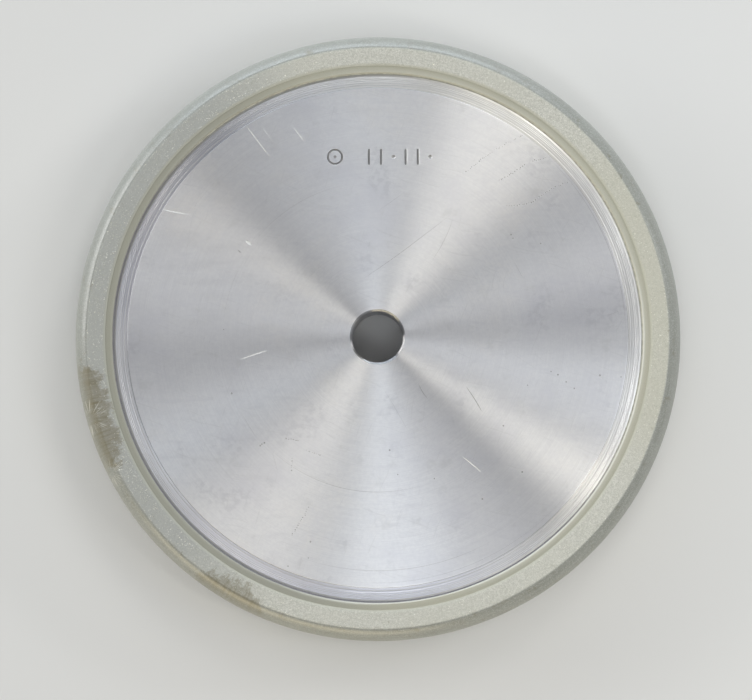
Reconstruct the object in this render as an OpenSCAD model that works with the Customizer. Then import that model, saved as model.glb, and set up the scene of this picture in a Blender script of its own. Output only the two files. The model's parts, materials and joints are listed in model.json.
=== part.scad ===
// Diamond grinding wheel: a turned aluminium core with a bonded diamond rim.
// Z is the spindle axis. The origin is on the axis, in the plane of the rim's lower flat.
// Both faces have the same profile, so each section is drawn for the upper half and mirrored.

/* [Wheel] */
// Outside diameter over the lip of the rim
wheel_d = 150; // [130:1:200]
// Thickness over the two flats of the rim
wheel_t = 16; // [12:0.5:30]
// Diameter of the spindle bore
bore_d = 12.7; // [8:0.1:32]

/* [Core] */
// Chamfer at each mouth of the bore
bore_chamfer = 0.45; // [0.2:0.05:1]
// Drop from the rim's flat to the clamping face
face_drop = 0.3; // [0.1:0.05:1]
// Radial width of the turned ring at the core's edge
relief_w = 3.4; // [1.5:0.1:8]
// Drop from the clamping face to the turned ring
relief_drop = 0.3; // [0.1:0.05:0.8]
// Chamfer between the turned ring and the rim seat
seat_chamfer = 0.25; // [0.1:0.05:0.6]
// Number of keying grooves around the rim seat
key_count = 3; // [1:1:4]
// Width of each keying groove
key_w = 1.2; // [0.6:0.1:1.8]
// Depth of each keying groove
key_depth = 0.4; // [0.2:0.05:0.8]

/* [Rim] */
// Radial width of the whole bonded rim, with its adhesive
rim_w = 9.8; // [9.2:0.1:14]
// Thickness of the adhesive film
glue_t = 0.2; // [0.1:0.05:0.4]
// Radial width of the diamond layer
diamond_w = 7.7; // [6:0.1:7.8]
// Drop from the rim's flat to the base ring's face
base_drop = 0.25; // [0.1:0.05:0.5]
// Chamfer at the base ring's inner edge
base_chamfer = 0.35; // [0.2:0.05:0.6]
// Radial width of the rounded shoulder outside the flat
shoulder_w = 3.1; // [1.5:0.1:3.5]
// Angle of the shoulder below the flat where it begins
shoulder_start = 30; // [15:1:40]
// Angle of the shoulder below the flat where it meets the periphery
shoulder_end = 75; // [65:1:85]

/* [Index stamp] */
// Height of the punched marks
mark_h = 4; // [2:0.5:6]
// Stroke width of the punched marks
mark_stroke = 0.5; // [0.3:0.05:0.7]
// Depth of the punched marks
mark_depth = 0.2; // [0.1:0.05:0.4]
// Distance from the axis to the row of marks
mark_y = 44.6; // [30:0.1:48]

/* [Hidden] */
$fn = 180;

mid_z = wheel_t / 2;
wheel_r = wheel_d / 2;
bore_r = bore_d / 2;
seat_r = wheel_r - rim_w;
relief_r = seat_r - relief_w;
glue_r = seat_r + glue_t;
diamond_r = wheel_r - diamond_w;
flat_r = wheel_r - shoulder_w;

// Heights above the middle plane
flat_h = mid_z;
face_h = flat_h - face_drop;
relief_h = face_h - relief_drop;
seat_h = relief_h - seat_chamfer;
base_h = flat_h - base_drop;
glue_h = seat_h - 0.1;

// The shoulder is an arc, drawn as a chain of narrow cones
shoulder_r = shoulder_w / (sin(shoulder_end) - sin(shoulder_start));
shoulder_steps = 8;

// The keying grooves are spread evenly over the seat
key_pitch = 2 * seat_h / (key_count + 1);
key_z = [for (i = [1:key_count]) i * key_pitch - seat_h];

// The row of marks: one ring, then bars and dots at an even pitch
ring_x = -10.5;
row_x = -2.1;
row_pitch = 3.03;
bar_places = [0, 1, 3, 4];
dot_places = [2, 5];

// Closes an outline that is listed for the upper half only, from the inside outwards
function mirrored(upper) =
    concat(upper, [for (i = [len(upper) - 1:-1:0]) [upper[i][0], -upper[i][1]]]);

function shoulder_point(angle) = [
    flat_r + shoulder_r * (sin(angle) - sin(shoulder_start)),
    flat_h + shoulder_r * (cos(angle) - cos(shoulder_start))
];

module turned(upper) {
    translate([0, 0, mid_z])
        rotate_extrude()
            polygon(mirrored(upper));
}

module bar() {
    reach = (mark_h - mark_stroke) / 2;
    square([mark_stroke, 2 * reach], center = true);
    translate([0, reach]) circle(d = mark_stroke);
    translate([0, -reach]) circle(d = mark_stroke);
}

module ring_and_dot() {
    difference() {
        circle(d = mark_h);
        circle(d = mark_h - 2 * mark_stroke);
    }
    circle(d = 1.6 * mark_stroke);
}

// A plain row of punch marks that says nothing
module index_stamp() {
    translate([0, mark_y, mid_z + face_h - mark_depth])
        linear_extrude(mark_depth + 1) {
            translate([ring_x, 0]) ring_and_dot();
            for (i = bar_places) translate([row_x + i * row_pitch, 0]) bar();
            for (i = dot_places) translate([row_x + i * row_pitch, 0]) circle(d = 2 * mark_stroke);
        }
}

// Turned disc with the spindle bore, two clamping faces and the seat for the rim
module core() {
    color("silver")
        difference() {
            turned([
                [bore_r, face_h - bore_chamfer],
                [bore_r + bore_chamfer, face_h],
                [relief_r, face_h],
                [relief_r + relief_drop, relief_h],
                [seat_r - seat_chamfer, relief_h],
                [seat_r, seat_h]
            ]);
            for (z = key_z) key_ring(seat_r - key_depth, seat_r + 1, z);
            index_stamp();
        }
}

// Flat ring of one keying groove, centred at a height above the middle plane
module key_ring(inner_r, outer_r, z) {
    translate([0, 0, mid_z + z - key_w / 2])
        difference() {
            cylinder(r = outer_r, h = key_w);
            translate([0, 0, -1]) cylinder(r = inner_r, h = key_w + 2);
        }
}

// Film of adhesive between the seat and the base ring, with a rib in each keying groove
module adhesive_line() {
    color("dimgray") {
        turned([[seat_r, glue_h], [glue_r, glue_h]]);
        for (z = key_z) key_ring(seat_r - key_depth, seat_r, z);
    }
}

// Diamond-free ring of bond that carries the diamond layer
module base_ring() {
    color("darkkhaki")
        turned([
            [glue_r, base_h - base_chamfer],
            [glue_r + base_chamfer, base_h],
            [diamond_r, base_h]
        ]);
}

// Diamond layer: a flat on each side, rounded shoulders and a straight periphery
module diamond_rim() {
    color("lightgray")
        turned(concat(
            [[diamond_r, flat_h]],
            [for (i = [0:shoulder_steps])
                shoulder_point(shoulder_start + (shoulder_end - shoulder_start) * i / shoulder_steps)]
        ));
}

core();
adhesive_line();
base_ring();
diamond_rim();
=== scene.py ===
import json
import math
import random

import bpy
import numpy as np
from mathutils import Matrix, Vector, noise


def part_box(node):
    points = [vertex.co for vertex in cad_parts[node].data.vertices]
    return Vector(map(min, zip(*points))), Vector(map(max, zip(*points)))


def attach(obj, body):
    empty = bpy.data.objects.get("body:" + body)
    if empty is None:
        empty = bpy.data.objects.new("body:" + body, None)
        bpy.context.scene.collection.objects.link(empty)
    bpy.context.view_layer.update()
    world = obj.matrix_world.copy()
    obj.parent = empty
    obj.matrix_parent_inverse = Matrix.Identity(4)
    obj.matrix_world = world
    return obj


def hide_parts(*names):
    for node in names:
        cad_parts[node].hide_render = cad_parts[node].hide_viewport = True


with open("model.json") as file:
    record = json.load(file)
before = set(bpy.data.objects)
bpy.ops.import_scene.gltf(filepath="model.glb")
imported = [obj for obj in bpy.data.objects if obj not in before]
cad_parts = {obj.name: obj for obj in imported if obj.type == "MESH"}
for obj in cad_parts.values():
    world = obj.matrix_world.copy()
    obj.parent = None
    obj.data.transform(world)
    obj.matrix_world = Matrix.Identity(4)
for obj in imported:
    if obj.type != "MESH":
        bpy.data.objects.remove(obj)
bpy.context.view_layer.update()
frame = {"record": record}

MM = 0.001

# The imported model's boxes, in metres
rim_low, rim_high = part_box("diamond_rim")
core_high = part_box("core")[1]
glue_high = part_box("adhesive_line")[1]
base_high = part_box("base_ring")[1]
bore = next(m for m in frame["record"]["mounts"] if m["name"] == "bore")

# Radii, and heights above the wheel's middle plane, which is at mid_z
mid_z = (rim_low.z + rim_high.z) / 2
wheel_r = rim_high.x
bore_r = bore["dims"]["r_mm"] * MM
flat_h = rim_high.z - mid_z
face_h = core_high.z - mid_z
base_h = base_high.z - mid_z
glue_h = glue_high.z - mid_z

# The same driving sizes as the CAD model's
rim_w = 9.8 * MM
glue_t = 0.2 * MM
diamond_w = 7.7 * MM
shoulder_w = 3.1 * MM
relief_w = 3.4 * MM
relief_drop = 0.3 * MM
seat_chamfer = 0.25 * MM
base_chamfer = 0.35 * MM
bore_chamfer = 0.45 * MM
shoulder_start = math.radians(30)
shoulder_end = math.radians(75)
key_count = 3
key_w = 1.2 * MM
key_depth = 0.4 * MM
mark_y = 44.6 * MM

seat_r = wheel_r - rim_w
glue_r = seat_r + glue_t
diamond_r = wheel_r - diamond_w
flat_r = wheel_r - shoulder_w
relief_r = seat_r - relief_w
relief_h = face_h - relief_drop
seat_h = relief_h - seat_chamfer

# The upper clamping face's height in the frame
top_z = mid_z + face_h

# How finely each turned piece is divided around the axis, and how many grains each piece of grit has
core_segments = 450
film_segments = 1080
base_segments = 720
rim_segments = 1140
grain_count = 12000


# ---------------------------------------------------------------- meshes


def new_piece(name, verts, faces, material, smooth_angle=35):
    """A mesh object in the shared frame, smooth except at edges sharper than smooth_angle degrees."""
    mesh = bpy.data.meshes.new(name)
    mesh.from_pydata(np.asarray(verts).tolist(), [], faces)
    mesh.validate()
    piece = bpy.data.objects.new(name, mesh)
    bpy.context.scene.collection.objects.link(piece)
    finish_mesh(mesh, smooth_angle)
    mesh.materials.append(material)
    return piece


def finish_mesh(mesh, smooth_angle):
    mesh.polygons.foreach_set("use_smooth", [True] * len(mesh.polygons))
    mesh.set_sharp_from_angle(angle=math.radians(smooth_angle))
    mesh.update()


def lathe(profile, segments):
    """Vertices and faces of a closed outline of (radius, height above the middle plane) turned about Z."""
    outline = np.asarray(profile)
    turn = np.linspace(0, 2 * np.pi, segments, endpoint=False)
    verts = np.empty((segments, len(outline), 3))
    verts[:, :, 0] = np.cos(turn)[:, None] * outline[:, 0]
    verts[:, :, 1] = np.sin(turn)[:, None] * outline[:, 0]
    verts[:, :, 2] = mid_z + outline[:, 1]
    count = len(outline)
    faces = []
    for i in range(segments):
        a, b = i * count, (i + 1) % segments * count
        faces += [(a + j, b + j, b + (j + 1) % count, a + (j + 1) % count) for j in range(count)]
    return verts.reshape(-1, 3), faces


def mirrored(upper):
    """Closes an outline listed for the upper half only, from the inside outwards, anticlockwise."""
    return [(r, -h) for r, h in upper] + [(r, h) for r, h in reversed(upper)]


def spaced(start, stop, step):
    """Values from start to stop inclusive, about step apart."""
    return np.linspace(start, stop, max(2, round(abs(stop - start) / step) + 1))


def join_parts(parts):
    """One list of vertices and one of faces from several."""
    verts, faces, offset = [], [], 0
    for part_verts, part_faces in parts:
        verts.append(np.asarray(part_verts))
        faces += [tuple(i + offset for i in face) for face in part_faces]
        offset += len(part_verts)
    return np.concatenate(verts), faces


def smooth_path(points, step):
    """Points about step apart on a Catmull-Rom curve through the given ones."""
    knots = [Vector(p) for p in points]
    knots = [2 * knots[0] - knots[1], *knots, 2 * knots[-1] - knots[-2]]
    path = []
    for a, b, c, d in zip(knots, knots[1:], knots[2:], knots[3:]):
        count = max(1, math.ceil((c - b).length / step))
        for i in range(count):
            t = i / count
            path.append(0.5 * (2 * b + (c - a) * t + (2 * a - 5 * b + 4 * c - d) * t * t
                               + (3 * b - a - 3 * c + d) * t ** 3))
    return path + [knots[-2]]


def sweep(path, section, scales, closed=False):
    """A closed solid: a section of (sideways, up) points carried along a path on the upper face."""
    count, size = len(path), len(section)
    verts, faces = [], []
    for i, p in enumerate(path):
        before = path[i - 1] if closed or i else p
        after = path[(i + 1) % count] if closed or i < count - 1 else p
        along = (after - before).normalized()
        side = Vector((along.y, -along.x))
        for across, up in section:
            at = p + side * across * scales[i]
            verts.append((at.x, at.y, top_z + up * scales[i]))
    for i in range(count if closed else count - 1):
        a, b = i * size, (i + 1) % count * size
        faces += [(a + j, a + (j + 1) % size, b + (j + 1) % size, b + j) for j in range(size)]
    if not closed:
        faces += [tuple(reversed(range(size))), tuple(range((count - 1) * size, count * size))]
    return verts, faces


def boolean(piece, operation, parts, name):
    """Adds or cuts swept solids, then drops the helper."""
    tool_mesh = bpy.data.meshes.new(name)
    verts, faces = join_parts(parts)
    tool_mesh.from_pydata(verts.tolist(), [], faces)
    tool = bpy.data.objects.new(name, tool_mesh)
    bpy.context.scene.collection.objects.link(tool)
    modifier = piece.modifiers.new(name, "BOOLEAN")
    modifier.operation = operation
    modifier.solver = "MANIFOLD"
    modifier.object = tool
    evaluated = piece.evaluated_get(bpy.context.evaluated_depsgraph_get())
    mesh = bpy.data.meshes.new_from_object(evaluated)
    piece.modifiers.clear()
    piece.data = mesh
    bpy.data.objects.remove(tool)


# ---------------------------------------------------------------- materials


class Shader:
    """A node material, put together with short calls."""

    def __init__(self, name, **values):
        self.material = bpy.data.materials.new(name)
        self.material.use_nodes = True
        self.tree = self.material.node_tree
        self.surface = self.tree.nodes["Principled BSDF"]
        self.place = self.add("ShaderNodeTexCoord").outputs["Object"]
        for socket, value in values.items():
            self.surface.inputs[socket.replace("_", " ")].default_value = value

    def add(self, kind, inputs=None, **settings):
        node = self.tree.nodes.new(kind)
        for name, value in settings.items():
            setattr(node, name, value)
        for socket, value in (inputs or {}).items():
            self.feed(node.inputs[socket], value)
        return node

    def feed(self, socket, value):
        if isinstance(value, bpy.types.NodeSocket):
            self.tree.links.new(value, socket)
        else:
            socket.default_value = value

    def set(self, **links):
        for socket, value in links.items():
            self.feed(self.surface.inputs[socket.replace("_", " ")], value)
        return self.material

    def math(self, operation, *values):
        return self.add("ShaderNodeMath", dict(enumerate(values)), operation=operation).outputs[0]

    def plus(self, a, b):
        return self.math("ADD", a, b)

    def minus(self, a, b):
        return self.math("SUBTRACT", a, b)

    def times(self, a, b):
        return self.math("MULTIPLY", a, b)

    def larger(self, a, b):
        return self.math("MAXIMUM", a, b)

    def length(self, x, y):
        return self.math("SQRT", self.plus(self.times(x, x), self.times(y, y)))

    def vector(self, x, y, z):
        return self.add("ShaderNodeCombineXYZ", {0: x, 1: y, 2: z}).outputs[0]

    def parts(self, vector):
        return self.add("ShaderNodeSeparateXYZ", {0: vector}).outputs

    def locate(self):
        """Finds x, y and height, the distance from the wheel's axis, and the unit direction from it."""
        self.x, self.y, self.height = self.parts(self.place)
        self.radius = self.length(self.x, self.y)
        safe = self.larger(self.radius, 0.1 * MM)
        self.ux = self.math("DIVIDE", self.x, safe)
        self.uy = self.math("DIVIDE", self.y, safe)

    def noise(self, vector, scale, detail=2.0, roughness=0.5):
        inputs = {"Vector": vector, "Scale": scale, "Detail": detail, "Roughness": roughness}
        return self.add("ShaderNodeTexNoise", inputs).outputs["Fac"]

    def rings(self, across, around, detail):
        """Noise drawn out along circles about the axis, as a turning tool leaves it."""
        x, y = self.times(self.ux, around), self.times(self.uy, around)
        return self.noise(self.vector(self.times(self.radius, across), x, y), 1.0, detail)

    def cells(self, scale):
        return self.add("ShaderNodeTexVoronoi", {"Vector": self.place, "Scale": scale}).outputs

    def speckle(self, scale):
        """A value of its own, from 0 to 1, in each small cell."""
        return self.add("ShaderNodeSeparateColor", {0: self.cells(scale)["Color"]}).outputs[0]

    def step(self, value, low, high, out_low=0.0, out_high=1.0):
        """A smooth change from out_low to out_high as value goes from low to high."""
        inputs = {"Value": value, "From Min": low, "From Max": high, "To Min": out_low, "To Max": out_high}
        return self.add("ShaderNodeMapRange", inputs, interpolation_type="SMOOTHSTEP").outputs[0]

    def mix(self, factor, a, b):
        node = self.add("ShaderNodeMix", data_type="RGBA")
        self.feed(node.inputs["Factor"], factor)
        self.feed(node.inputs[6], a)
        self.feed(node.inputs[7], b)
        return node.outputs[2]

    def tint(self, color, mask, amount, target):
        """The colour, taken by amount towards the target wherever mask is 1."""
        return self.mix(self.times(mask, amount), color, target)

    def bump(self, height, distance, strength=1.0, normal=None):
        inputs = {"Height": height, "Distance": distance, "Strength": strength}
        if normal:
            inputs["Normal"] = normal
        return self.add("ShaderNodeBump", inputs).outputs[0]

    def turned_grain(self):
        """The direction of a turned surface's grain, round the axis."""
        return self.add("ShaderNodeTangent", direction_type="RADIAL", axis="Z").outputs[0]


def sector(s, azimuth, half_width, soft, least=0.0):
    """1 within half_width degrees of an azimuth, falling to least over soft degrees more."""
    a = math.radians(azimuth)
    facing = s.plus(s.times(s.ux, math.cos(a)), s.times(s.uy, math.sin(a)))
    outer_edge = math.cos(math.radians(half_width + soft))
    inner_edge = math.cos(math.radians(half_width))
    return s.step(facing, outer_edge, inner_edge, least)


def hairlines(s, turn, threshold):
    """Thin straight handling scratches, all roughly along one direction, turned by so many radians."""
    inputs = {"Vector": s.place, "Angle": turn}
    turned = s.add("ShaderNodeVectorRotate", inputs, rotation_type="Z_AXIS").outputs[0]
    x, y, _ = s.parts(turned)
    drift = s.times(s.noise(turned, 40), 8 * MM)
    across = s.times(s.plus(y, drift), 2500)
    along = s.times(x, 110)
    return s.step(s.noise(s.vector(along, across, turn), 1.0, 0), threshold, threshold + 0.08)


def face_grime(s):
    """1 in whatever is cut below the face: stamp strokes, scratches and dents."""
    sunk = s.step(s.height, top_z - 0.004 * MM, top_z - 0.03 * MM)
    inside_ring = s.step(s.radius, relief_r - 0.1 * MM, relief_r - 0.2 * MM)
    outside_bore = s.step(s.radius, bore_r + bore_chamfer, bore_r + bore_chamfer + 0.1 * MM)
    return s.times(s.times(sunk, inside_ring), outside_bore)


def turned_aluminium():
    """Lathe-turned metal: fine concentric grain, so lights show as radial streaks."""
    s = Shader("turned_aluminium", Metallic=1.0, Anisotropic=0.95, Anisotropic_Rotation=0.25)
    s.locate()
    fine = s.rings(7000, 2, 3)
    arcs = s.rings(1500, 5, 2)
    cloud = s.noise(s.place, 45, 4, 0.6)
    smear = s.noise(s.vector(s.times(s.x, 90), s.times(s.y, 420), 0.0), 1.0, 4, 0.6)
    blotch = s.noise(s.place, 210, 3, 0.6)
    mottle = s.noise(s.place, 1300, 3, 0.6)
    patches = s.step(s.noise(s.place, 85, 3, 0.55), 0.56, 0.68)
    smudge = s.times(patches, s.step(s.noise(s.place, 700, 3), 0.42, 0.62))
    marks = s.larger(hairlines(s, 0.3, 0.72), hairlines(s, 1.9, 0.73))
    chamfer_r = bore_r + bore_chamfer
    chamfer = s.step(s.radius, chamfer_r + 0.08 * MM, chamfer_r - 0.02 * MM)
    color = s.mix(s.step(fine, 0.3, 0.7), (0.775, 0.775, 0.79, 1), (0.83, 0.83, 0.84, 1))
    color = s.mix(s.step(arcs, 0.5, 0.8, 0.0, 0.3), color, (0.72, 0.72, 0.73, 1))
    color = s.mix(s.step(cloud, 0.5, 0.75, 0.0, 0.5), color, (0.68, 0.68, 0.73, 1))
    color = s.mix(s.step(cloud, 0.5, 0.3, 0.0, 0.35), color, (0.85, 0.83, 0.80, 1))
    color = s.mix(s.step(smear, 0.52, 0.75, 0.0, 0.4), color, (0.66, 0.66, 0.69, 1))
    color = s.mix(s.step(blotch, 0.6, 0.75, 0.0, 0.35), color, (0.6, 0.6, 0.6, 1))
    color = s.mix(s.step(mottle, 0.35, 0.65, 0.0, 0.28), color, (0.68, 0.68, 0.71, 1))
    color = s.tint(color, smudge, 0.3, (0.54, 0.54, 0.57, 1))
    color = s.tint(color, marks, 0.12, (0.5, 0.5, 0.5, 1))
    color = s.tint(color, face_grime(s), 0.7, (0.24, 0.23, 0.22, 1))
    # painted shade: the bore's chamfer is painted dark all round
    color = s.tint(color, chamfer, 0.85, (0.27, 0.27, 0.28, 1))
    rough = s.plus(s.step(smear, 0.3, 0.7, 0.325, 0.365), s.times(marks, 0.04))
    normal = s.bump(fine, 0.0018 * MM)
    normal = s.bump(arcs, 0.003 * MM, normal=normal)
    normal = s.bump(smear, 0.006 * MM, normal=normal)
    normal = s.bump(marks, -0.004 * MM, normal=normal)
    return s.set(Base_Color=color, Roughness=rough, Normal=normal, Tangent=s.turned_grain())


def coarse_turned_aluminium():
    """The same metal on the turned ring, cut with a coarser tool and so a little duller, with painted light
    and shade by azimuth: a painted lit side near 25 degrees, painted shade near 62, 150 and 256 degrees,
    and painted shade on the step's wall.
    """
    s = Shader("coarse_turned_aluminium", Metallic=1.0, Anisotropic=0.92, Anisotropic_Rotation=0.25)
    s.locate()
    lines = s.rings(5500, 1, 2)
    cloud = s.noise(s.place, 130, 4, 0.6)
    wall = s.step(s.radius, relief_r + 0.2 * MM, relief_r + 0.13 * MM)
    color = s.mix(s.step(lines, 0.3, 0.7), (0.68, 0.68, 0.71, 1), (0.85, 0.85, 0.87, 1))
    # painted highlight: the ring's side near 25 degrees is painted lighter and creamier, where it shows lit
    painted_lit_side = s.mix(s.step(lines, 0.3, 0.6), (0.71, 0.705, 0.69, 1), (0.84, 0.83, 0.81, 1))
    color = s.mix(sector(s, 25, 65, 25), color, painted_lit_side)
    # painted shade: the ring is painted darker near 62 degrees
    color = s.tint(color, sector(s, 62, 12, 12), 0.8, (0.58, 0.575, 0.56, 1))
    color = s.mix(s.step(cloud, 0.5, 0.75, 0.0, 0.4), color, (0.70, 0.70, 0.74, 1))
    # painted shade: the ring is painted darker and bluer near 150 degrees
    color = s.tint(color, sector(s, 150, 18, 16), 0.95, (0.51, 0.515, 0.56, 1))
    # painted shade: the ring is painted a darker lavender near 256 degrees
    color = s.tint(color, sector(s, 256, 26, 16), 0.8, (0.66, 0.66, 0.72, 1))
    # painted shade: the step's wall is painted dark
    color = s.tint(color, wall, 0.6, (0.30, 0.30, 0.32, 1))
    rough = s.step(cloud, 0.3, 0.7, 0.34, 0.38)
    normal = s.bump(lines, 0.003 * MM)
    return s.set(Base_Color=color, Roughness=rough, Normal=normal, Tangent=s.turned_grain())


def burnished_aluminium():
    """Metal on the slopes of the tool marks and the worn edge, rubbed bright, with a painted highlight near
    38 degrees.
    """
    s = Shader("burnished_aluminium", Metallic=1.0, Anisotropic=0.6, Anisotropic_Rotation=0.25)
    s.locate()
    worn = s.rings(900, 6, 3)
    color = s.mix(s.step(worn, 0.35, 0.65), (0.66, 0.655, 0.64, 1), (0.58, 0.575, 0.57, 1))
    # painted highlight: a near-white patch near 38 degrees
    color = s.tint(color, sector(s, 38, 10, 14), 0.85, (0.96, 0.96, 0.94, 1))
    rough = s.step(worn, 0.3, 0.7, 0.35, 0.38)
    return s.set(Base_Color=color, Roughness=rough, Tangent=s.turned_grain())


def scratched_aluminium():
    """Metal torn bare lately, which scatters the light and so looks white."""
    s = Shader("scratched_aluminium", Metallic=0.35)
    torn = s.noise(s.place, 3000, 2)
    color = s.mix(s.step(torn, 0.3, 0.7), (0.70, 0.70, 0.69, 1), (0.82, 0.82, 0.80, 1))
    rough = s.step(torn, 0.3, 0.7, 0.45, 0.6)
    return s.set(Base_Color=color, Roughness=rough, Normal=s.bump(torn, 0.01 * MM))


def stain(s, azimuth, half_width, inner_r):
    """A dried splash on the upper shoulder that frays inwards into fine radial strands."""
    ragged = s.minus(s.noise(s.place, 420, 4, 0.65), 0.5)
    along_radius = s.vector(s.times(s.ux, 110), s.times(s.uy, 110), s.times(s.radius, 90))
    strands = s.noise(along_radius, 1.0, 3)
    spread = s.plus(sector(s, azimuth, half_width * 0.2, half_width * 0.9), s.times(ragged, 1.6))
    edge = s.plus(s.times(ragged, 2.5 * MM), s.radius)
    edge = s.plus(edge, s.times(s.minus(strands, 0.5), 5 * MM))
    edge = s.plus(edge, s.times(s.minus(spread, 1.0), 4 * MM))
    reach = s.step(edge, inner_r - 0.6 * MM, inner_r + 1.8 * MM)
    outward = s.step(s.radius, wheel_r - 0.2 * MM, flat_r + 0.2 * MM, 0.4, 1.0)
    upper_side = s.step(s.height, mid_z, mid_z + 4 * MM)
    density = s.times(s.step(strands, 0.3, 0.65, 1.0, 0.6), upper_side)
    return s.times(s.times(reach, s.step(spread, 0.05, 0.5)), s.times(outward, density))


def brown_stains(s):
    small = s.times(stain(s, 240, 8, 69.2 * MM), 0.85)
    return s.larger(stain(s, 196, 11.5, 67.9 * MM), small)


def brushed(s, azimuth, reach):
    """Fine strokes that fan inwards from a place on the upper shoulder."""
    a = math.radians(azimuth)
    hub_r = flat_r + 2 * MM
    x = s.minus(s.x, hub_r * math.cos(a))
    y = s.minus(s.y, hub_r * math.sin(a))
    angle, distance = s.math("ARCTAN2", y, x), s.length(x, y)
    strokes = s.noise(s.vector(s.times(angle, 16), s.times(distance, 130), azimuth), 1.0, 2)
    near = s.times(s.step(distance, reach, reach * 0.6), s.step(distance, reach * 0.15, reach * 0.4))
    near = s.times(near, s.step(s.height, mid_z + 4 * MM, mid_z + 6 * MM))
    return s.times(s.step(strokes, 0.54, 0.64), near)


def diamond_bond():
    """Pale filled resin full of fine grit, dressed smooth on the shoulders, with two brown stains, painted
    shade over the flat near 176 degrees and a darker, yellower painted shade near 8 degrees.
    """
    s = Shader("diamond_bond", Metallic=0.0, Specular_IOR_Level=0.6)
    s.locate()
    from_mid = s.math("ABSOLUTE", s.minus(s.height, mid_z))
    beyond_flat = s.step(s.radius, flat_r - 0.3 * MM, flat_r + 0.2 * MM)
    on_shoulder = s.times(beyond_flat, s.step(from_mid, 2.8 * MM, 4.2 * MM))
    merge = s.step(s.radius, diamond_r + 0.9 * MM, diamond_r - 0.1 * MM, 0.0, 0.75)
    specks = s.speckle(4600)
    clumps = s.noise(s.place, 1500, 2)
    drift = s.noise(s.place, 38, 3)
    combed = s.rings(2500, 9, 2)
    grain = s.cells(3600)["Distance"]
    color = s.mix(s.step(specks, 0.0, 1.0), (0.42, 0.42, 0.37, 1), (0.60, 0.595, 0.54, 1))
    color = s.mix(s.step(clumps, 0.35, 0.7, 0.0, 0.4), color, (0.42, 0.42, 0.375, 1))
    color = s.mix(s.step(drift, 0.4, 0.7, 0.0, 0.4), color, (0.49, 0.485, 0.42, 1))
    # painted shade: the flat is painted darker near 176 degrees
    color = s.tint(color, sector(s, 176, 46, 30), 0.75, (0.30, 0.31, 0.30, 1))
    # painted shade: the flat is painted darker and yellower near 8 degrees
    color = s.tint(color, sector(s, 8, 18, 22), 0.45, (0.44, 0.43, 0.34, 1))
    color = s.mix(merge, color, (0.405, 0.405, 0.33, 1))
    smooth = s.mix(s.step(combed, 0.4, 0.75), (0.235, 0.245, 0.225, 1), (0.20, 0.21, 0.19, 1))
    smooth = s.mix(s.step(specks, 0.55, 1.0, 0.0, 0.4), smooth, (0.42, 0.43, 0.41, 1))
    color = s.tint(color, on_shoulder, 0.9, smooth)
    color = s.tint(color, brown_stains(s), 0.92, (0.155, 0.134, 0.075, 1))
    strokes = s.larger(brushed(s, 196, 5.5 * MM), brushed(s, 207, 4 * MM))
    color = s.tint(color, strokes, 0.55, (0.62, 0.61, 0.55, 1))
    rough = s.minus(s.step(clumps, 0.3, 0.7, 0.48, 0.52), s.times(on_shoulder, 0.16))
    strength = s.minus(1.0, s.times(on_shoulder, 0.88))
    normal = s.bump(s.plus(grain, s.times(clumps, 0.5)), 0.03 * MM, strength)
    return s.set(Base_Color=color, Roughness=rough, Normal=normal)


def base_bond():
    """The same resin without grit, olive and turned smooth, with painted shade on the left near 188
    degrees, a painted lit strip by the film near 315 degrees and a painted lighter inner part on the right.
    """
    s = Shader("base_bond", Metallic=0.0, Specular_IOR_Level=0.5)
    s.locate()
    specks = s.noise(s.place, 5200, 2)
    rings = s.rings(2600, 1, 3)
    drift = s.noise(s.place, 45, 3)
    wavering_r = s.plus(s.radius, s.times(s.minus(drift, 0.5), 1.2 * MM))
    # painted highlight: a pale strip beside the film near 315 degrees, where the inner edge shows lit
    painted_lit_strip = s.step(wavering_r, glue_r + 0.85 * MM, glue_r + 0.4 * MM)
    painted_lit_strip = s.times(painted_lit_strip, sector(s, 315, 42, 30, 0.12))
    inner_part = s.step(wavering_r, diamond_r - 0.3 * MM, diamond_r - 1.1 * MM)
    right_side = s.times(sector(s, 10, 70, 40), inner_part)
    color = s.mix(s.step(specks, 0.3, 0.7), (0.335, 0.33, 0.262, 1), (0.40, 0.395, 0.32, 1))
    color = s.mix(s.step(rings, 0.4, 0.75, 0.0, 0.5), color, (0.33, 0.33, 0.27, 1))
    color = s.mix(s.step(drift, 0.4, 0.7, 0.0, 0.4), color, (0.43, 0.41, 0.32, 1))
    # painted shade: the base ring is painted darker near 188 degrees
    color = s.tint(color, sector(s, 188, 60, 30), 0.6, (0.26, 0.26, 0.22, 1))
    color = s.tint(color, painted_lit_strip, 0.6, (0.66, 0.67, 0.62, 1))
    # painted light: the base ring's inner part is painted lighter on the right side
    color = s.tint(color, right_side, 0.25, (0.57, 0.56, 0.49, 1))
    rough = s.step(rings, 0.3, 0.7, 0.46, 0.56)
    normal = s.bump(s.plus(rings, s.times(specks, 0.4)), 0.012 * MM)
    return s.set(Base_Color=color, Roughness=rough, Normal=normal)


def epoxy():
    """Lumpy grey film, painted dark as shade over the lower left around 232 degrees and paler elsewhere."""
    s = Shader("grey_epoxy", Metallic=0.0)
    s.locate()
    lumps = s.noise(s.place, 900, 3)
    dark = s.mix(lumps, (0.13, 0.13, 0.14, 1), (0.25, 0.245, 0.25, 1))
    pale = s.mix(s.step(lumps, 0.35, 0.65), (0.34, 0.335, 0.28, 1), (0.46, 0.46, 0.39, 1))
    # painted shade: the film is painted dark from about 150 to 315 degrees
    color = s.mix(sector(s, 232, 80, 25), pale, dark)
    rough = s.step(lumps, 0.3, 0.7, 0.35, 0.6)
    return s.set(Base_Color=color, Roughness=rough, Normal=s.bump(lumps, 0.05 * MM))


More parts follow.
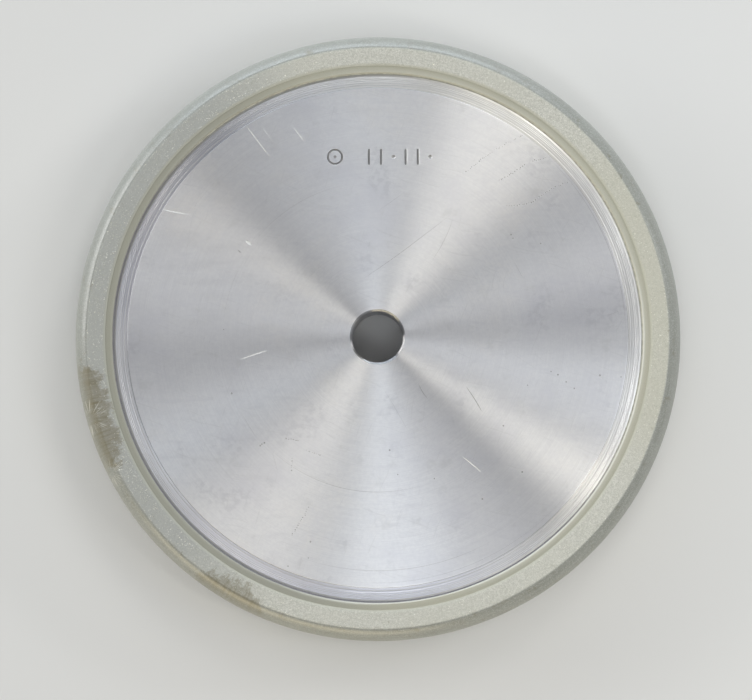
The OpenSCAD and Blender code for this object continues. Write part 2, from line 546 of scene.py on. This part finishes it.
def diamond_grain():
    """Pale crystals, each a little different, with clean glossy facets."""
    s = Shader("diamond_grain", Metallic=0.0, IOR=2.2)
    s.locate()
    shade = s.speckle(2500)
    color = s.mix(shade, (0.42, 0.43, 0.36, 1), (0.74, 0.74, 0.66, 1))
    color = s.tint(color, brown_stains(s), 0.9, (0.17, 0.155, 0.09, 1))
    return s.set(Base_Color=color, Roughness=s.step(shade, 0, 1, 0.08, 0.3))


def pale_floor():
    s = Shader("pale_floor", Metallic=0.0)
    drift = s.noise(s.place, 3, 2)
    color = s.mix(drift, (0.66, 0.66, 0.65, 1), (0.70, 0.70, 0.69, 1))
    return s.set(Base_Color=color, Roughness=0.9)


# ---------------------------------------------------------------- core


def rounded(corners, size):
    """The outline with each inner corner replaced by a small curve."""
    out = [corners[0]]
    for before, corner, after in zip(corners, corners[1:], corners[2:]):
        a, b, c = Vector(before), Vector(corner), Vector(after)
        start = b + (a - b) * min(0.4, size / (a - b).length)
        end = b + (c - b) * min(0.4, size / (c - b).length)
        out += [tuple(start), tuple((start + 2 * b + end) / 4), tuple(end)]
    return out + [corners[-1]]


def core_outline():
    """The upper half of the core's section: bore, face, turned ring and grooved seat."""
    chamfer_r = bore_r + bore_chamfer
    bore_mouth = [(bore_r, face_h - bore_chamfer - 0.5 * MM), (bore_r, face_h - bore_chamfer),
                  (chamfer_r, face_h), (chamfer_r + 0.4 * MM, face_h)]
    bore_mouth = rounded(bore_mouth, 0.06 * MM)
    face = [(r, face_h + 0.003 * MM * noise.noise((r / (2.3 * MM), 0, 0)))
            for r in spaced(bore_mouth[-1][0] + 0.5 * MM, relief_r - 0.6 * MM, 1.2 * MM)]
    step = [(relief_r - 0.3 * MM, face_h), (relief_r, face_h - 0.01 * MM),
            (relief_r + 0.12 * MM, relief_h + 0.01 * MM), (relief_r + 0.4 * MM, relief_h)]
    step = rounded(step, 0.02 * MM)
    ring = [point for mark in TOOL_MARKS for point in groove(*mark)]
    worn_edge = [(seat_r - 0.5 * MM, relief_h), (seat_r - 0.42 * MM, relief_h - 0.03 * MM),
                 (seat_r - 0.06 * MM, relief_h - 0.18 * MM), (seat_r, seat_h), (seat_r, seat_h - 0.3 * MM)]
    return mirrored(bore_mouth + face + step + ring + worn_edge + keyed(seat_r, seat_r - key_depth))


# Tool marks in the turned ring: radius of the bottom, width of the slope and depth in mm
TOOL_MARKS = [
    (62.62, 0.17, 0.058),
    (63.2, 0.08, 0.02),
    (63.7, 0.14, 0.048),
    (64.08, 0.14, 0.048),
    (64.4, 0.09, 0.03),
]


def groove(bottom_r, width, depth):
    """A saw-toothed tool mark: a slope that faces outwards and a steep way back up. Sizes in mm."""
    profile = [(-width, 0), (0, depth), (0.05, 0.3 * depth), (0.09, 0)]
    return [((bottom_r + across) * MM, relief_h - down * MM) for across, down in profile]


def smooth_rise(value, low, high):
    t = min(1, max(0, (value - low) / (high - low)))
    return t * t * (3 - 2 * t)


def keyed(wall_r, bottom_r):
    """The upper half of the grooves in a wall, from the top down to the middle plane."""
    pitch = 2 * seat_h / (key_count + 1)
    points = []
    for i in range(key_count, 0, -1):
        z = i * pitch - seat_h
        if z > -key_w / 4:
            points += [(wall_r, z + key_w / 2), (bottom_r, z + key_w / 2)]
        if z > key_w / 4:
            points += [(bottom_r, z - key_w / 2), (wall_r, z - key_w / 2)]
    return points


def tapered(count):
    """Scale factors that fall to a fifth at both ends of a path."""
    return [0.2 + 0.8 * abs(math.sin(math.pi * i / (count - 1))) ** 0.5 for i in range(count)]


def trench(width, depth):
    """Section of a cut, clockwise: wide above the face, narrow at the bottom."""
    mouth, bottom, clear = 0.62 * width, 0.2 * width, 0.12 * MM
    return [(-mouth, clear), (mouth, clear), (bottom, -depth), (-bottom, -depth)]


def lip(width, height):
    """Section of the metal raised on both sides of a cut."""
    foot, top, buried = width / 2 + 0.2 * MM, width / 2 + 0.06 * MM, -0.05 * MM
    return [(-foot, buried), (-foot, 0), (-top, height), (top, height), (foot, 0), (foot, buried)]


def pit(x, y, radius, depth):
    """A round punched hole, wide above the face and narrow at the bottom."""
    sides = 16
    turn = np.linspace(0, 2 * np.pi, sides, endpoint=False)
    rings = [(radius * 1.3, 0.1 * MM), (radius * 0.45, -depth)]
    verts = [(x + r * math.cos(t), y + r * math.sin(t), top_z + up) for r, up in rings for t in turn]
    faces = [(i + sides, (i + 1) % sides + sides, (i + 1) % sides, i) for i in range(sides)]
    ends = [tuple(range(sides)), tuple(reversed(range(sides, 2 * sides)))]
    return np.array(verts), faces + ends


# The index stamp: a ring with a dot in it, then bars and dots at an even pitch
mark_h = 4 * MM
mark_stroke = 0.5 * MM
mark_depth = 0.2 * MM
ring_x = -10.5 * MM
row_x = -2.1 * MM
row_pitch = 3.03 * MM
bar_places = (0, 1, 3, 4)
dot_places = (2, 5)


def stamp_paths():
    """(path, scales, closed) for each stroke of the stamp."""
    ring_r = (mark_h - mark_stroke) / 2
    ring = [Vector((ring_x + ring_r * math.cos(t), mark_y + ring_r * math.sin(t)))
            for t in np.linspace(0, 2 * math.pi, 40, endpoint=False)]
    strokes = [(ring, [1.0] * len(ring), True)]
    half = mark_h / 2
    heights = [-half, 0.12 * MM - half, 0.3 * MM - half, 0, half - 0.3 * MM, half - 0.12 * MM, half]
    narrowing = [0.35, 0.8, 1, 1, 1, 0.8, 0.35]
    for i in bar_places:
        bar = [Vector((row_x + i * row_pitch, mark_y + h)) for h in heights]
        strokes.append((bar, narrowing, False))
    return strokes


def stamp_dots():
    centre = pit(ring_x, mark_y, 0.4 * MM, mark_depth)
    return [centre] + [pit(row_x + i * row_pitch, mark_y, mark_stroke, mark_depth) for i in dot_places]


# Handling marks on the upper face: width and depth in mm, then points in mm from the axis
SCRATCHES = [
    (0.16, 0.03, [(-4, 14), (4, 19.5), (12, 25.5), (18.5, 30.5)]),
    (0.14, 0.025, [(18.9, 30), (17.5, 26), (15.5, 22), (13, 18)]),
    (0.12, 0.02, [(0, 31), (3.5, 33.5), (7, 36)]),
    (0.35, 0.06, [(-34.6, 21.6), (-34.1, 21.1), (-33.6, 20.7)]),
    (0.3, 0.05, [(21.8, -12.2), (24, -15.5), (25.8, -18.6)]),
    (0.22, 0.03, [(10, -11.5), (11.2, -13.8), (12.6, -15.6)]),
    (0.12, 0.02, [(1, -12), (4, -17), (8, -24)]),
    (0.14, 0.02, [(-34, -18), (-31.8, -21.8), (-29.4, -25.6)]),
    (0.14, 0.02, [(33.5, 19), (35, 16.2), (36.2, 14)]),
    (0.12, 0.02, [(56, 5), (58, 5.6), (60, 6.5)]),
    (0.1, 0.015, [(-42, 41), (-45.5, 31), (-47.3, 20), (-47.6, 10)]),
    (0.12, 0.02, [(-26, -28), (-25.2, -31), (-24.3, -34)]),
]

# The newest marks, in the same units: no dirt in them yet, so they show bright
FRESH_SCRATCHES = [
    (0.36, 0.012, [(-32.6, 52.5), (-29.7, 48.6), (-26.6, 44.6)]),
    (0.4, 0.012, [(-20.8, 52), (-19.5, 50.2), (-18.2, 48.5)]),
    (0.25, 0.012, [(-28.5, 52), (-27, 50), (-25.5, 48)]),
    (0.62, 0.02, [(-33.8, -5.6), (-30.5, -4.4), (-27.3, -3.4)]),
    (0.45, 0.015, [(-53.4, 31.7), (-50.2, 31), (-47, 30.4)]),
    (1.0, 0.08, [(-32.6, 23.9), (-31.8, 23.3), (-31.1, 22.7)]),
    (0.4, 0.02, [(20.9, -29.6), (23.2, -31.4), (25.5, -33.4)]),
]

# Arcs scribed by a tool that touched: radius in mm, start and end in degrees, and width in mm
SCRIBED = [
    (61.2, -4, 49, 0.2),
    (38.5, 101, 144, 0.14),
    (38.3, 222, 292, 0.22),
    (38.2, 150, 177, 0.1),
    (57.6, 250, 304, 0.18),
    (60.6, 262, 330, 0.12),
]
scribed_depth = 0.02

# Rows of small dents left by something that rolled over the face, and single dents, all in mm
TRACKS = [
    [(22, 41), (26, 44), (29, 46.2), (36, 50)],
    [(30, 38.6), (34, 40.8), (36.5, 42.4)],
    [(38.2, 43.5), (40.5, 44), (43, 44.5)],
    [(32, 32.2), (38, 33.2), (42, 36), (47, 38.3)],
    [(-17, -42), (-19, -45.5), (-21, -49)],
    [(-21, -30), (-21.2, -33)],
    [(-22.5, -25.2), (-19.5, -25.6)],
    [(-17.5, -28), (-14, -29.4)],
]
track_pitch = 0.62
DENTS = [
    (33, 25.2), (33.5, 24.3), (40.3, 23), (31, -22), (37, -12), (42.8, -8.6), (44.5, -9.4), (46.5, -11.2),
    (48.5, -12.8), (54.8, -9.6), (60, -10), (35.6, -33.4), (25.8, -40), (3, -28), (5, -34), (-28.5, -26.5),
    (-27.9, -26.2), (-28.9, -26.9), (-38, 1.8), (-36, -14), (-16.5, -50.5), (-17, -54.5), (-22, -56.5),
    (14, -35),
]


def curve_in_mm(points, step):
    return smooth_path([Vector(p) * MM for p in points], step * MM)


def scratch_path(points):
    return curve_in_mm(points, 0.8)


def handling_marks():
    """Swept and punched cutters for all the wear on the upper face."""
    rng = random.Random(5)
    cuts = []
    for width, depth, points in SCRATCHES + FRESH_SCRATCHES:
        path = scratch_path(points)
        cuts.append(sweep(path, trench(width * MM, depth * MM), tapered(len(path))))
    for radius, start, stop, width in SCRIBED:
        angles = np.radians(spaced(start, stop, 1.5))
        path = [Vector((radius * math.cos(a), radius * math.sin(a))) * MM for a in angles]
        cuts.append(sweep(path, trench(width * MM, scribed_depth * MM), tapered(len(path))))
    for points in TRACKS:
        for p in curve_in_mm(points, track_pitch):
            x, y = p.x + rng.gauss(0, 0.1 * MM), p.y + rng.gauss(0, 0.1 * MM)
            cuts.append(pit(x, y, rng.uniform(0.14, 0.28) * MM, rng.uniform(0.02, 0.05) * MM))
    for x, y in DENTS:
        cuts.append(pit(x * MM, y * MM, rng.uniform(0.22, 0.42) * MM, rng.uniform(0.03, 0.06) * MM))
    return cuts


# Places in the core's list of materials. The face's own is at 0.
RING, BURNISHED, SCRATCHED = 1, 2, 3


def pick_ring_materials(core):
    """Gives the turned ring and seat their own metal, and the tool marks' outward slopes another."""
    for face in core.data.polygons:
        if math.hypot(*face.center.xy) > relief_r - 0.01 * MM:
            outward = face.normal.x * face.center.x + face.normal.y * face.center.y > 0
            sloping = 0.2 < math.hypot(*face.normal.xy) < 0.6
            face.material_index = BURNISHED if outward and sloping else RING


def pick_scratch_material(core):
    """Gives the floors of the fresh scratches a material of their own."""
    places = [p for _, _, points in FRESH_SCRATCHES for p in scratch_path(points)]
    for face in core.data.polygons:
        depth = top_z - face.center.z
        if 0.004 * MM < depth < 0.1 * MM and face.normal.z > 0.9:
            if min((face.center.xy - p).length for p in places) < 0.6 * MM:
                face.material_index = SCRATCHED


def make_core():
    verts, faces = lathe(core_outline(), core_segments)
    core = new_piece("aluminium_core", verts, faces, turned_aluminium())
    for material in (coarse_turned_aluminium(), burnished_aluminium(), scratched_aluminium()):
        core.data.materials.append(material)
    pick_ring_materials(core)
    strokes = stamp_paths()
    raised, cut = lip(mark_stroke, 0.03 * MM), trench(mark_stroke, mark_depth)
    lips = [sweep(path, raised, scales, closed) for path, scales, closed in strokes]
    cuts = [sweep(path, cut, scales, closed) for path, scales, closed in strokes]
    boolean(core, "UNION", lips, "stamp_lips")
    boolean(core, "DIFFERENCE", cuts + stamp_dots(), "stamp_cuts")
    boolean(core, "DIFFERENCE", handling_marks(), "wear_cuts")
    pick_scratch_material(core)
    finish_mesh(core.data, 15)
    return core


# ---------------------------------------------------------------- bonded rim


# How far down from each flat the rim is dressed smooth: the shoulder and the edge of the periphery
dressed_depth = 5.0 * MM


def shoulder_points(step):
    """The rounded shoulder from the flat to the periphery, as an arc."""
    radius = shoulder_w / (math.sin(shoulder_end) - math.sin(shoulder_start))
    return [(flat_r + radius * (math.sin(a) - math.sin(shoulder_start)),
             flat_h + radius * (math.cos(a) - math.cos(shoulder_start)))
            for a in spaced(shoulder_start, shoulder_end, step / radius)]


def rim_outline():
    """The upper half of the diamond layer's section, with points grain apart where grit shows."""
    grain = 0.34 * MM
    inner = [(diamond_r, flat_h - 3 * MM), (diamond_r, base_h + 0.05 * MM)]
    ramp = [(r, base_h + (flat_h - base_h) * smooth_rise(r, diamond_r - 0.3 * MM, diamond_r + 0.7 * MM))
            for r in spaced(diamond_r + 0.15 * MM, diamond_r + 0.75 * MM, 0.2 * MM)]
    flat = [(r, flat_h) for r in spaced(ramp[-1][0] + grain, flat_r - 0.8 * MM, grain)]
    ridge_radius = 0.4 * MM / math.tan(shoulder_start / 2)
    ridge = [(flat_r - 0.4 * MM + ridge_radius * math.sin(a), flat_h - ridge_radius * (1 - math.cos(a)))
             for a in spaced(0, shoulder_start, math.radians(7.5))]
    shoulder = [(r, h) for r, h in shoulder_points(grain) if r > flat_r + 0.4 * MM]
    last_r, last_h = shoulder[-1]
    edge = [(last_r, h) for h in spaced(last_h - 0.4 * MM, 0.25 * MM, 0.5 * MM)]
    return inner + ramp + flat + ridge + shoulder + edge


def outline_normals(outline):
    """Outward (radius, height) directions at each point of a closed anticlockwise outline."""
    points = np.asarray(outline)
    along = np.roll(points, -1, axis=0) - np.roll(points, 1, axis=0)
    normals = np.stack([along[:, 1], -along[:, 0]], axis=1)
    return normals / np.linalg.norm(normals, axis=1, keepdims=True)


def roughen(verts, outline, segments, depth_at):
    """Moves each vertex of a lathed mesh along its normal by depth_at(place, index in the outline)."""
    normals = outline_normals(outline)
    grid = verts.reshape(segments, len(outline), 3)
    turn = np.linspace(0, 2 * np.pi, segments, endpoint=False)
    for i in range(segments):
        cos, sin = math.cos(turn[i]), math.sin(turn[i])
        for j, (nr, nz) in enumerate(normals):
            d = depth_at(grid[i, j], j)
            grid[i, j] += (nr * cos * d, nr * sin * d, nz * d)
    return grid.reshape(-1, 3)


def make_rim():
    outline = mirrored(rim_outline())
    verts, faces = lathe(outline, rim_segments)
    specks = iter(np.random.RandomState(3).uniform(-1, 1, len(verts)))

    def depth(p, j):
        """Fine specks and grain, faint where the rim is dressed, on a slow waviness."""
        speck = next(specks)
        radius, height = outline[j]
        if radius < diamond_r + 0.01 * MM:
            return 0.0
        dressed = radius > flat_r - 0.5 * MM and abs(height) > flat_h - dressed_depth
        grain = 0.05 if dressed else 1.0
        at = Vector(p)
        return (0.012 * grain * speck + 0.02 * grain * noise.noise(at / (0.9 * MM))
                + 0.03 * noise.noise(at / (9 * MM))) * MM

    verts = roughen(verts, outline, rim_segments, depth)
    return new_piece("diamond_rim_body", verts, faces, diamond_bond(), 60)


def make_grit(name, zone, count, seed, material):
    """Exposed diamond grains: small eight-sided crystals, half sunk in the bond of one flat or the edge."""
    rng = np.random.RandomState(seed)
    outline = np.array(mirrored(rim_outline()))
    outward = outline_normals(outline)
    seen = outline[:, 0] > diamond_r + 0.4 * MM
    if zone == "upper":
        seen &= (outline[:, 1] > 0) & (outline[:, 0] < flat_r)
    elif zone == "lower":
        seen &= (outline[:, 1] < 0) & (outline[:, 0] < flat_r)
    else:
        seen &= abs(outline[:, 1]) <= flat_h - dressed_depth
    picks = rng.choice(np.flatnonzero(seen[:-1] & seen[1:]), count)
    along = rng.rand(count, 1)
    point = outline[picks] * (1 - along) + outline[picks + 1] * along
    normal = outward[picks] * (1 - along) + outward[picks + 1] * along
    size = rng.uniform(0.07, 0.15, (count, 1)) * MM
    point = point - normal * size * rng.uniform(0.2, 0.75, (count, 1))
    turn = rng.uniform(0, 2 * np.pi, count)
    centre = np.stack([point[:, 0] * np.cos(turn), point[:, 0] * np.sin(turn), mid_z + point[:, 1]], axis=1)
    q = rng.normal(size=(count, 4))
    q /= np.linalg.norm(q, axis=1, keepdims=True)
    w, x, y, z = q.T
    rotation = np.stack([
        np.stack([1 - 2 * (y * y + z * z), 2 * (x * y - z * w), 2 * (x * z + y * w)], axis=1),
        np.stack([2 * (x * y + z * w), 1 - 2 * (x * x + z * z), 2 * (y * z - x * w)], axis=1),
        np.stack([2 * (x * z - y * w), 2 * (y * z + x * w), 1 - 2 * (x * x + y * y)], axis=1)], axis=1)
    tips = np.array([(1, 0, 0), (-1, 0, 0), (0, 1, 0), (0, -1, 0), (0, 0, 1), (0, 0, -1)], dtype=float)
    shapes = tips[None] * size[:, :, None] * rng.uniform(0.75, 1.3, (count, 6, 1))
    verts = centre[:, None] + np.einsum("nij,nkj->nki", rotation, shapes)
    crystal = [(0, 2, 4), (2, 1, 4), (1, 3, 4), (3, 0, 4), (2, 0, 5), (1, 2, 5), (3, 1, 5), (0, 3, 5)]
    faces = [(a + 6 * i, b + 6 * i, c + 6 * i) for i in range(count) for a, b, c in crystal]
    return new_piece(name, verts.reshape(-1, 3), faces, material, 5)


def make_base_ring():
    """The base ring, with a rounded inner edge and a finely rippled face."""
    inner = [(glue_r, base_h - base_chamfer - 0.4 * MM), (glue_r, base_h - base_chamfer),
             (glue_r + base_chamfer, base_h), (glue_r + base_chamfer + 0.2 * MM, base_h)]
    inner = rounded(inner, 0.08 * MM)
    face = []
    for r in spaced(inner[-1][0] + 0.05 * MM, diamond_r, 0.055 * MM):
        ripple = math.sin(r / (0.035 * MM)) + noise.noise((r / (0.3 * MM), 0, 0))
        face.append((r, base_h - 0.006 * MM * (1 + ripple)))
    verts, faces = lathe(mirrored(inner + face), base_segments)
    return new_piece("base_ring_body", verts, faces, base_bond())


def make_adhesive():
    """Cured film, squeezed up unevenly between the core and the base ring, with its ribs."""
    ribs = keyed(seat_r, seat_r - key_depth)
    base_edge_h = base_h - base_chamfer
    bead = [(seat_r, glue_h - 0.2 * MM), (seat_r, seat_h - 0.02 * MM),
            (seat_r + 0.1 * MM, seat_h + 0.12 * MM),
            (glue_r + 0.12 * MM, base_edge_h + 0.14 * MM), (glue_r, base_edge_h - 0.1 * MM)]
    outline = mirrored(list(reversed(ribs)) + bead)
    verts, faces = lathe(outline, film_segments)
    for v in verts:
        if abs(v[2] - mid_z) > glue_h:
            swell = noise.noise(Vector(v) / (1.4 * MM)) + 0.6 * noise.noise(Vector(v) / (0.4 * MM))
            v[2] += math.copysign(0.05 * MM * swell, v[2] - mid_z)
    return new_piece("adhesive_film", verts, faces, epoxy(), 50)


# ---------------------------------------------------------------- scene


def stand_for(piece, slot, *nodes):
    """Puts a piece on the wheel's one body, in place of the CAD nodes named."""
    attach(piece, "root")
    if nodes:
        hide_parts(*nodes)


def add_floor():
    """A plain floor just under the wheel's lowest grains."""
    mesh = bpy.data.meshes.new("floor")
    reach, floor_z = 4.0, -0.15 * MM
    corners = [(-reach, -reach), (reach, -reach), (reach, reach), (-reach, reach)]
    mesh.from_pydata([(x, y, floor_z) for x, y in corners], [], [(0, 1, 2, 3)])
    floor = bpy.data.objects.new("floor", mesh)
    bpy.context.scene.collection.objects.link(floor)
    mesh.materials.append(pale_floor())


def add_panel(name, azimuth, zenith, distance, width, height, brightness, color):
    """A soft light that faces the wheel. Angles and the light's apparent size are in degrees."""
    a, z = math.radians(azimuth), math.radians(zenith)
    toward = Vector((math.cos(a) * math.sin(z), math.sin(a) * math.sin(z), math.cos(z)))
    data = bpy.data.lights.new(name, "AREA")
    data.shape = "RECTANGLE"
    data.size = distance * math.radians(width) * math.sin(z)
    data.size_y = distance * math.radians(height)
    data.energy = brightness * math.pi * data.size * data.size_y
    data.color = color
    light = bpy.data.objects.new(name, data)
    light.location = Vector((0, 0, mid_z)) + toward * distance
    light.rotation_euler = toward.to_track_quat("Z", "Y").to_euler()
    light.visible_camera = False
    bpy.context.scene.collection.objects.link(light)


def add_lights():
    """Panels above for the streaks on the face, low ones for the shoulder, and a dim even surround."""
    amber = (1.0, 0.86, 0.57)
    warm = (1.0, 0.97, 0.88)
    plain = (1.0, 0.99, 0.97)
    cool = (0.90, 0.95, 1.0)
    sky = (0.82, 0.91, 1.0)
    add_panel("panel_60", 62, 44, 0.5, 25, 20, 3.3, warm)
    add_panel("broad_right", 45, 43, 0.6, 90, 12, 0.9, plain)
    add_panel("panel_12", 10, 46, 0.6, 34, 14, 1.2, cool)
    add_panel("panel_273", 273, 25, 0.5, 28, 14, 4.3, cool)
    add_panel("panel_298", 298, 38, 0.5, 24, 14, 2.5, plain)
    add_panel("panel_230", 230, 20, 0.5, 36, 14, 1.5, plain)
    add_panel("panel_201", 200, 22, 0.6, 10, 14, 2.8, sky)
    add_panel("panel_330", 329, 42, 0.42, 11, 20, 6.8, warm)
    add_panel("panel_349", 349, 44, 0.42, 18, 20, 3.3, cool)
    add_panel("low_window", 96, 80, 1.2, 84, 20, 5.4, sky)
    add_panel("low_white", 158, 78, 1.2, 42, 20, 7.6, plain)
    add_panel("low_warm", 248, 83, 1.0, 76, 6, 12.0, amber)
    add_panel("low_plain", 22, 68, 1.0, 15, 4, 24.0, plain)
    world = bpy.data.worlds.new("studio")
    world.use_nodes = True
    background = world.node_tree.nodes["Background"]
    background.inputs["Color"].default_value = (0.97, 0.98, 1.0, 1)
    background.inputs["Strength"].default_value = 0.35
    bpy.context.scene.world = world
    bpy.context.scene.view_settings.view_transform = "Standard"


def add_camera():
    """Almost straight overhead, leaning three degrees towards -Y."""
    distance = 0.70
    lean_y, lean_x = math.radians(3.0), math.radians(-0.8)
    aim = Vector((-0.4 * MM, -3.1 * MM, rim_high.z - 4 * MM))
    camera = bpy.data.objects.new("camera", bpy.data.cameras.new("camera"))
    camera.location = aim + distance * Vector((-math.sin(lean_x), -math.sin(lean_y), 1)).normalized()
    back = (camera.location - aim).normalized()
    right = Vector((0, 1, 0)).cross(back).normalized()
    camera.rotation_euler = Matrix((right, back.cross(right), back)).transposed().to_euler()
    camera.data.sensor_width = 36
    camera.data.lens = 135.1
    camera.data.clip_start = 0.01
    bpy.context.scene.collection.objects.link(camera)
    bpy.context.scene.camera = camera


def main():
    stand_for(make_core(), "core_aluminium", "core")
    stand_for(make_adhesive(), "adhesive", "adhesive_line")
    stand_for(make_base_ring(), "base_bond", "base_ring")
    stand_for(make_rim(), "diamond_bond", "diamond_rim")
    grain = diamond_grain()
    stand_for(make_grit("grit_upper", "upper", grain_count, 21, grain), "diamond_bond")
    stand_for(make_grit("grit_lower", "lower", grain_count, 22, grain), "diamond_bond")
    stand_for(make_grit("grit_edge", "edge", grain_count, 23, grain), "diamond_bond")
    add_floor()
    add_lights()
    add_camera()


main()
